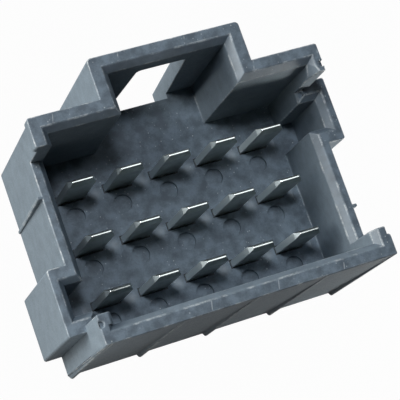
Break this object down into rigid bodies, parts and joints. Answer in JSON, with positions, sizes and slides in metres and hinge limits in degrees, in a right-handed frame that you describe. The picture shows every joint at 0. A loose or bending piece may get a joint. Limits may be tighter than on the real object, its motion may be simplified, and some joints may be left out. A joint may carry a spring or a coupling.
{
  "type": "automotive wiring connector",
  "caption": "Moulded male tab connector: an open rectangular shroud with a latch bridge on one long side, side keyways, cut-down side walls and rows of flat blade tabs.",
  "frame": {"origin": "centre of the tab field on the flat back face", "axes": "+X along the rows of tabs, +Y toward the latch bump, +Z out of the mouth"},
  "size_m": [0.033, 0.0261, 0.0218],
  "materials": {
    "housing_plastic": "slate grey moulded plastic, fine matt texture with faint mottling",
    "tab_metal": "tin-plated sheet, satin with a bright coined tip"
  },
  "bodies": {
    "root": {"housing": "housing_plastic", "tab_r1c1": "tab_metal", "tab_r1c2": "tab_metal", "tab_r1c3": "tab_metal", "tab_r1c4": "tab_metal", "tab_r1c5": "tab_metal", "tab_r2c1": "tab_metal", "tab_r2c2": "tab_metal", "tab_r2c3": "tab_metal", "tab_r2c4": "tab_metal", "tab_r2c5": "tab_metal", "tab_r3c1": "tab_metal", "tab_r3c2": "tab_metal", "tab_r3c3": "tab_metal", "tab_r3c4": "tab_metal", "tab_r3c5": "tab_metal"}
  },
  "joints": []
}
